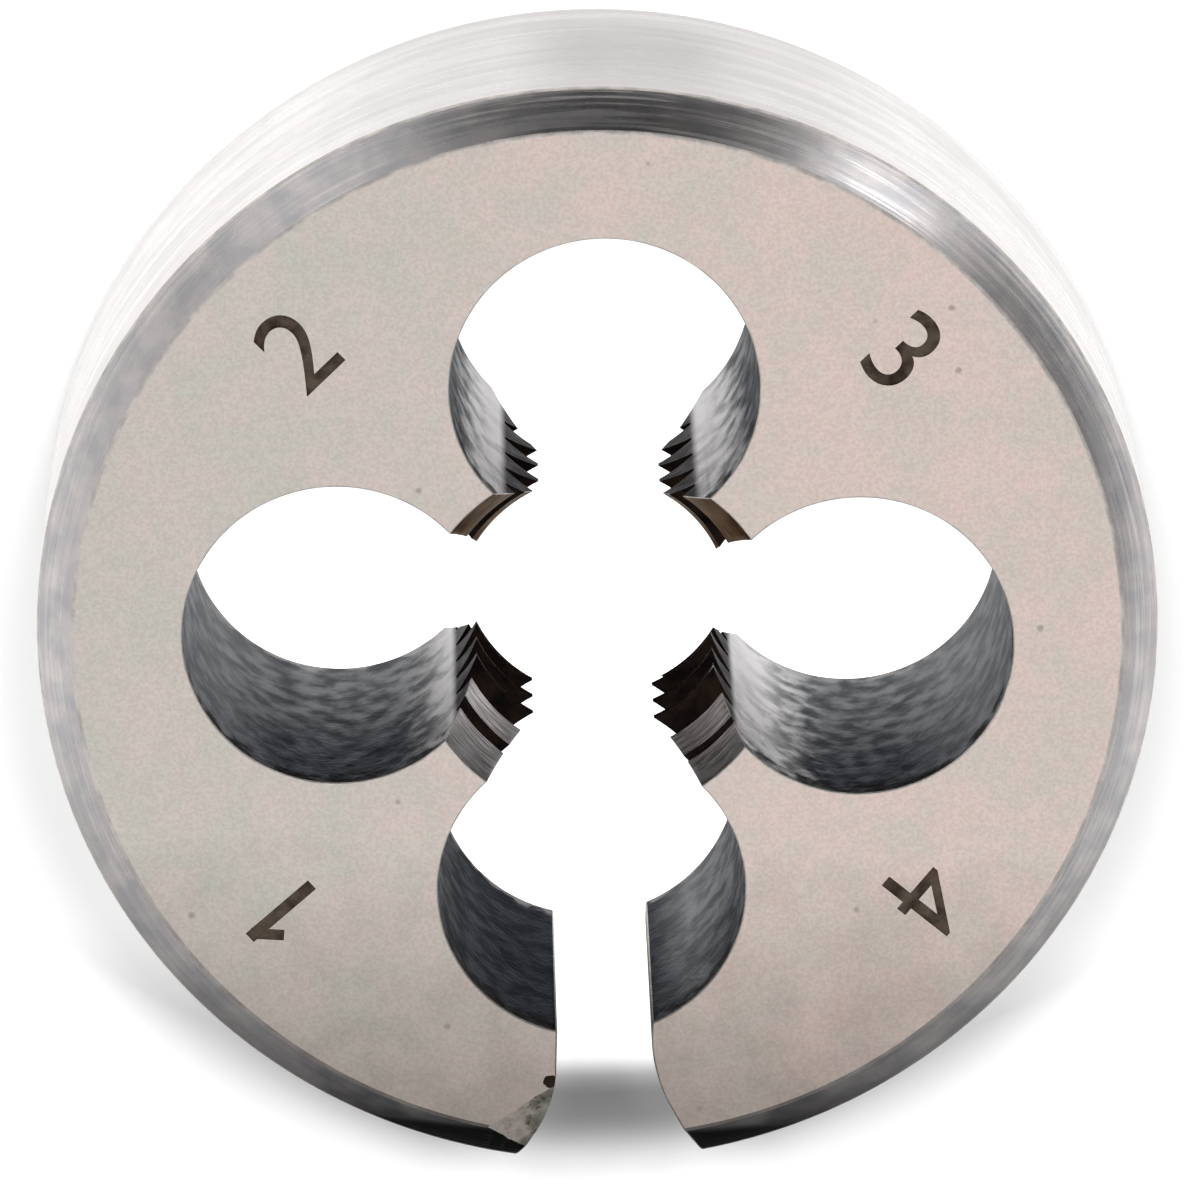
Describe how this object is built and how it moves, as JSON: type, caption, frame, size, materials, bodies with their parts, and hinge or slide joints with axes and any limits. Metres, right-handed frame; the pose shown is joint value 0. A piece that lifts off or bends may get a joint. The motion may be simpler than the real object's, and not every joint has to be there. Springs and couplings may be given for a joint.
{
  "type": "round threading die",
  "caption": "Split round die: a steel disc whose threaded bore, opened by chip holes, cuts an outside thread; a slit and rim seats let a die stock set its size.",
  "frame": {"origin": "centre of the back face, on the axis of the thread", "axes": "+Z along the thread, from the back face to the front face, which starts the thread; the slit runs towards -Y"},
  "size_m": [0.02, 0.0199, 0.007],
  "materials": {
    "tool_steel": "ground faces and rim, dull dark holes and thread"
  },
  "bodies": {
    "root": {"threading_die": "tool_steel"}
  },
  "joints": []
}
